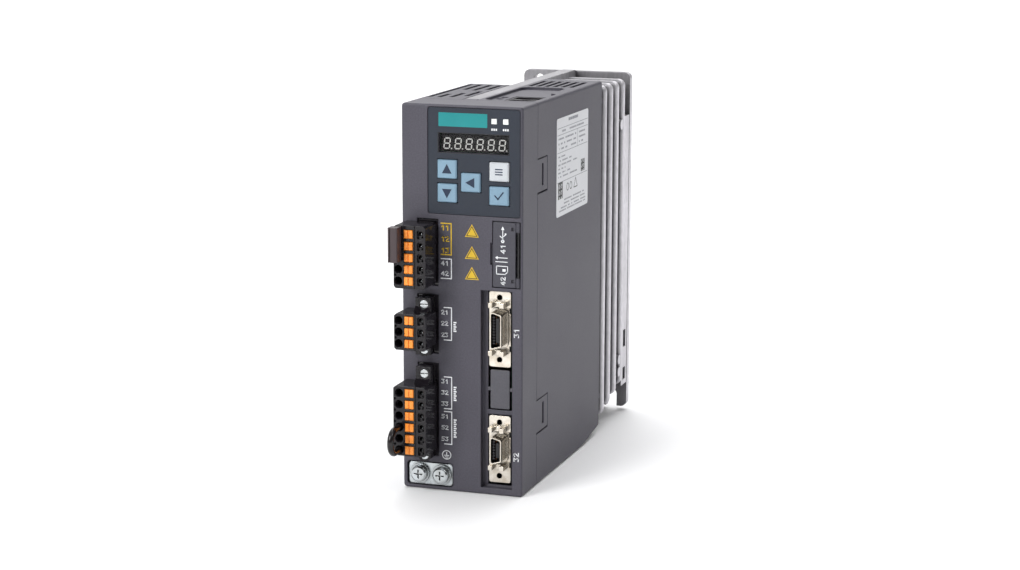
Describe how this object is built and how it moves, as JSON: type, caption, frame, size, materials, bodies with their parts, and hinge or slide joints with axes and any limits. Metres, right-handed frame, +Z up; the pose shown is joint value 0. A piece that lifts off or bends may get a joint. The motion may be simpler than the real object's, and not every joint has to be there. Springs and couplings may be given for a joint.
{
  "type": "servo drive",
  "caption": "Slim cabinet servo drive: plastic housing on an aluminium heatsink, pluggable spring-cage terminals, ribbon connectors, key panel with digit display and a hinged service flap.",
  "frame": {"origin": "middle of the rear mounting face, which is also the middle of the 55 mm by 170 mm housing outline seen from the front", "axes": "+Z up, +Y out of the mounting face towards the cabinet wall, +X to the right of someone facing the drive"},
  "size_m": [0.0551, 0.1965, 0.17],
  "materials": {
    "housing": "fine spark-eroded grain, dark grey",
    "heatsink": "die-cast, blasted, satin",
    "zinc_screw": "zinc plated",
    "panel_film": "printed polyester film, satin",
    "display_lens": "clear smoked lens",
    "display_face": "black LED module",
    "light_pipe": "frosted clear",
    "circuit_board": "green solder mask",
    "switch_black": "moulded",
    "key_blue": "light blue silicone-touch key",
    "key_white": "pale grey key",
    "steel_pin": "drawn steel",
    "socket_metal": "tin plated shell",
    "nickel": "nickel plated, warm",
    "insert_black": "glass-filled polyester",
    "terminal_black": "glass-filled polyamide",
    "lever_orange": "moulded orange",
    "jumper_brown": "brown insulated bridge",
    "wire_black": "PVC insulated",
    "earth_plate": "bright zinc plated",
    "ceramic_grey": "moulded module",
    "pad_white": "silicone thermal pad",
    "relay_blue": "sealed relay",
    "capacitor_sleeve": "PVC sleeve",
    "label": "printed polyester label"
  },
  "bodies": {
    "drive": {"front_cover": "housing", "right_shell": "housing", "left_shell": "housing", "heatsink": "heatsink", "housing_screws": "zinc_screw", "panel_film": "panel_film", "display_window": "display_lens", "display_module": "display_face", "led_light_pipes": "light_pipe", "panel_board": "circuit_board", "key_switches": "switch_black", "flap_hinge_pin": "steel_pin", "service_socket": "socket_metal", "card_slot": "socket_metal", "io_connector_shell": "nickel", "io_connector_insert": "insert_black", "encoder_connector_shell": "nickel", "encoder_connector_insert": "insert_black", "blanking_cover": "housing", "header_24v": "terminal_black", "header_mains": "terminal_black", "header_motor": "terminal_black", "ground_plate": "earth_plate", "ground_screws": "zinc_screw", "power_board": "circuit_board", "power_module": "ceramic_grey", "thermal_pad": "pad_white", "inrush_relay": "relay_blue", "control_board": "circuit_board", "capacitor_board": "circuit_board", "dc_link_capacitors": "capacitor_sleeve", "network_sockets": "socket_metal", "rating_label": "label"},
    "key_up": {"key_up": "key_blue"},
    "key_down": {"key_down": "key_blue"},
    "key_left": {"key_left": "key_blue"},
    "key_menu": {"key_menu": "key_white"},
    "key_ok": {"key_ok": "key_blue"},
    "service_flap": {"service_flap": "housing"},
    "plug_24v": {"plug_24v": "terminal_black", "jumper_bar": "jumper_brown"},
    "plug_mains": {"plug_mains": "terminal_black", "plug_mains_screws": "zinc_screw"},
    "plug_motor": {"plug_motor": "terminal_black", "plug_motor_screws": "zinc_screw", "link_wire": "wire_black"},
    "lever_24v_1": {"lever_24v_1": "lever_orange"},
    "lever_24v_2": {"lever_24v_2": "lever_orange"},
    "lever_24v_3": {"lever_24v_3": "lever_orange"},
    "lever_24v_4": {"lever_24v_4": "lever_orange"},
    "lever_24v_5": {"lever_24v_5": "lever_orange"},
    "lever_mains_1": {"lever_mains_1": "lever_orange"},
    "lever_mains_2": {"lever_mains_2": "lever_orange"},
    "lever_mains_3": {"lever_mains_3": "lever_orange"},
    "lever_motor_1": {"lever_motor_1": "lever_orange"},
    "lever_motor_2": {"lever_motor_2": "lever_orange"},
    "lever_motor_3": {"lever_motor_3": "lever_orange"},
    "lever_motor_4": {"lever_motor_4": "lever_orange"},
    "lever_motor_5": {"lever_motor_5": "lever_orange"},
    "lever_motor_6": {"lever_motor_6": "lever_orange"}
  },
  "joints": [
    {"name": "key_up_press", "type": "slide", "parent": "drive", "child": "key_up", "axis": [0, 1, 0], "range_m": [0, 0.0006], "stiffness_N_per_m": 1200},
    {"name": "key_down_press", "type": "slide", "parent": "drive", "child": "key_down", "axis": [0, 1, 0], "range_m": [0, 0.0006], "stiffness_N_per_m": 1200},
    {"name": "key_left_press", "type": "slide", "parent": "drive", "child": "key_left", "axis": [0, 1, 0], "range_m": [0, 0.0006], "stiffness_N_per_m": 1200},
    {"name": "key_menu_press", "type": "slide", "parent": "drive", "child": "key_menu", "axis": [0, 1, 0], "range_m": [0, 0.0006], "stiffness_N_per_m": 1200},
    {"name": "key_ok_press", "type": "slide", "parent": "drive", "child": "key_ok", "axis": [0, 1, 0], "range_m": [0, 0.0006], "stiffness_N_per_m": 1200},
    {"name": "flap_hinge", "type": "hinge", "parent": "drive", "child": "service_flap", "pos_m": [0.0254, -0.16905, 0.0215], "axis": [0, 0, 1], "range_deg": [0, 95]},
    {"name": "plug_24v_pull", "type": "slide", "parent": "drive", "child": "plug_24v", "axis": [0, -1, 0], "range_m": [0, 0.016]},
    {"name": "plug_mains_pull", "type": "slide", "parent": "drive", "child": "plug_mains", "axis": [0, -1, 0], "range_m": [0, 0.016]},
    {"name": "plug_motor_pull", "type": "slide", "parent": "drive", "child": "plug_motor", "axis": [0, -1, 0], "range_m": [0, 0.016]},
    {"name": "lever_24v_1_press", "type": "slide", "parent": "plug_24v", "child": "lever_24v_1", "axis": [0, 1, 0], "range_m": [0, 0.0012], "stiffness_N_per_m": 1500},
    {"name": "lever_24v_2_press", "type": "slide", "parent": "plug_24v", "child": "lever_24v_2", "axis": [0, 1, 0], "range_m": [0, 0.0012], "stiffness_N_per_m": 1500},
    {"name": "lever_24v_3_press", "type": "slide", "parent": "plug_24v", "child": "lever_24v_3", "axis": [0, 1, 0], "range_m": [0, 0.0012], "stiffness_N_per_m": 1500},
    {"name": "lever_24v_4_press", "type": "slide", "parent": "plug_24v", "child": "lever_24v_4", "axis": [0, 1, 0], "range_m": [0, 0.0012], "stiffness_N_per_m": 1500},
    {"name": "lever_24v_5_press", "type": "slide", "parent": "plug_24v", "child": "lever_24v_5", "axis": [0, 1, 0], "range_m": [0, 0.0012], "stiffness_N_per_m": 1500},
    {"name": "lever_mains_1_press", "type": "slide", "parent": "plug_mains", "child": "lever_mains_1", "axis": [0, 1, 0], "range_m": [0, 0.0012], "stiffness_N_per_m": 1500},
    {"name": "lever_mains_2_press", "type": "slide", "parent": "plug_mains", "child": "lever_mains_2", "axis": [0, 1, 0], "range_m": [0, 0.0012], "stiffness_N_per_m": 1500},
    {"name": "lever_mains_3_press", "type": "slide", "parent": "plug_mains", "child": "lever_mains_3", "axis": [0, 1, 0], "range_m": [0, 0.0012], "stiffness_N_per_m": 1500},
    {"name": "lever_motor_1_press", "type": "slide", "parent": "plug_motor", "child": "lever_motor_1", "axis": [0, 1, 0], "range_m": [0, 0.0012], "stiffness_N_per_m": 1500},
    {"name": "lever_motor_2_press", "type": "slide", "parent": "plug_motor", "child": "lever_motor_2", "axis": [0, 1, 0], "range_m": [0, 0.0012], "stiffness_N_per_m": 1500},
    {"name": "lever_motor_3_press", "type": "slide", "parent": "plug_motor", "child": "lever_motor_3", "axis": [0, 1, 0], "range_m": [0, 0.0012], "stiffness_N_per_m": 1500},
    {"name": "lever_motor_4_press", "type": "slide", "parent": "plug_motor", "child": "lever_motor_4", "axis": [0, 1, 0], "range_m": [0, 0.0012], "stiffness_N_per_m": 1500},
    {"name": "lever_motor_5_press", "type": "slide", "parent": "plug_motor", "child": "lever_motor_5", "axis": [0, 1, 0], "range_m": [0, 0.0012], "stiffness_N_per_m": 1500},
    {"name": "lever_motor_6_press", "type": "slide", "parent": "plug_motor", "child": "lever_motor_6", "axis": [0, 1, 0], "range_m": [0, 0.0012], "stiffness_N_per_m": 1500}
  ]
}
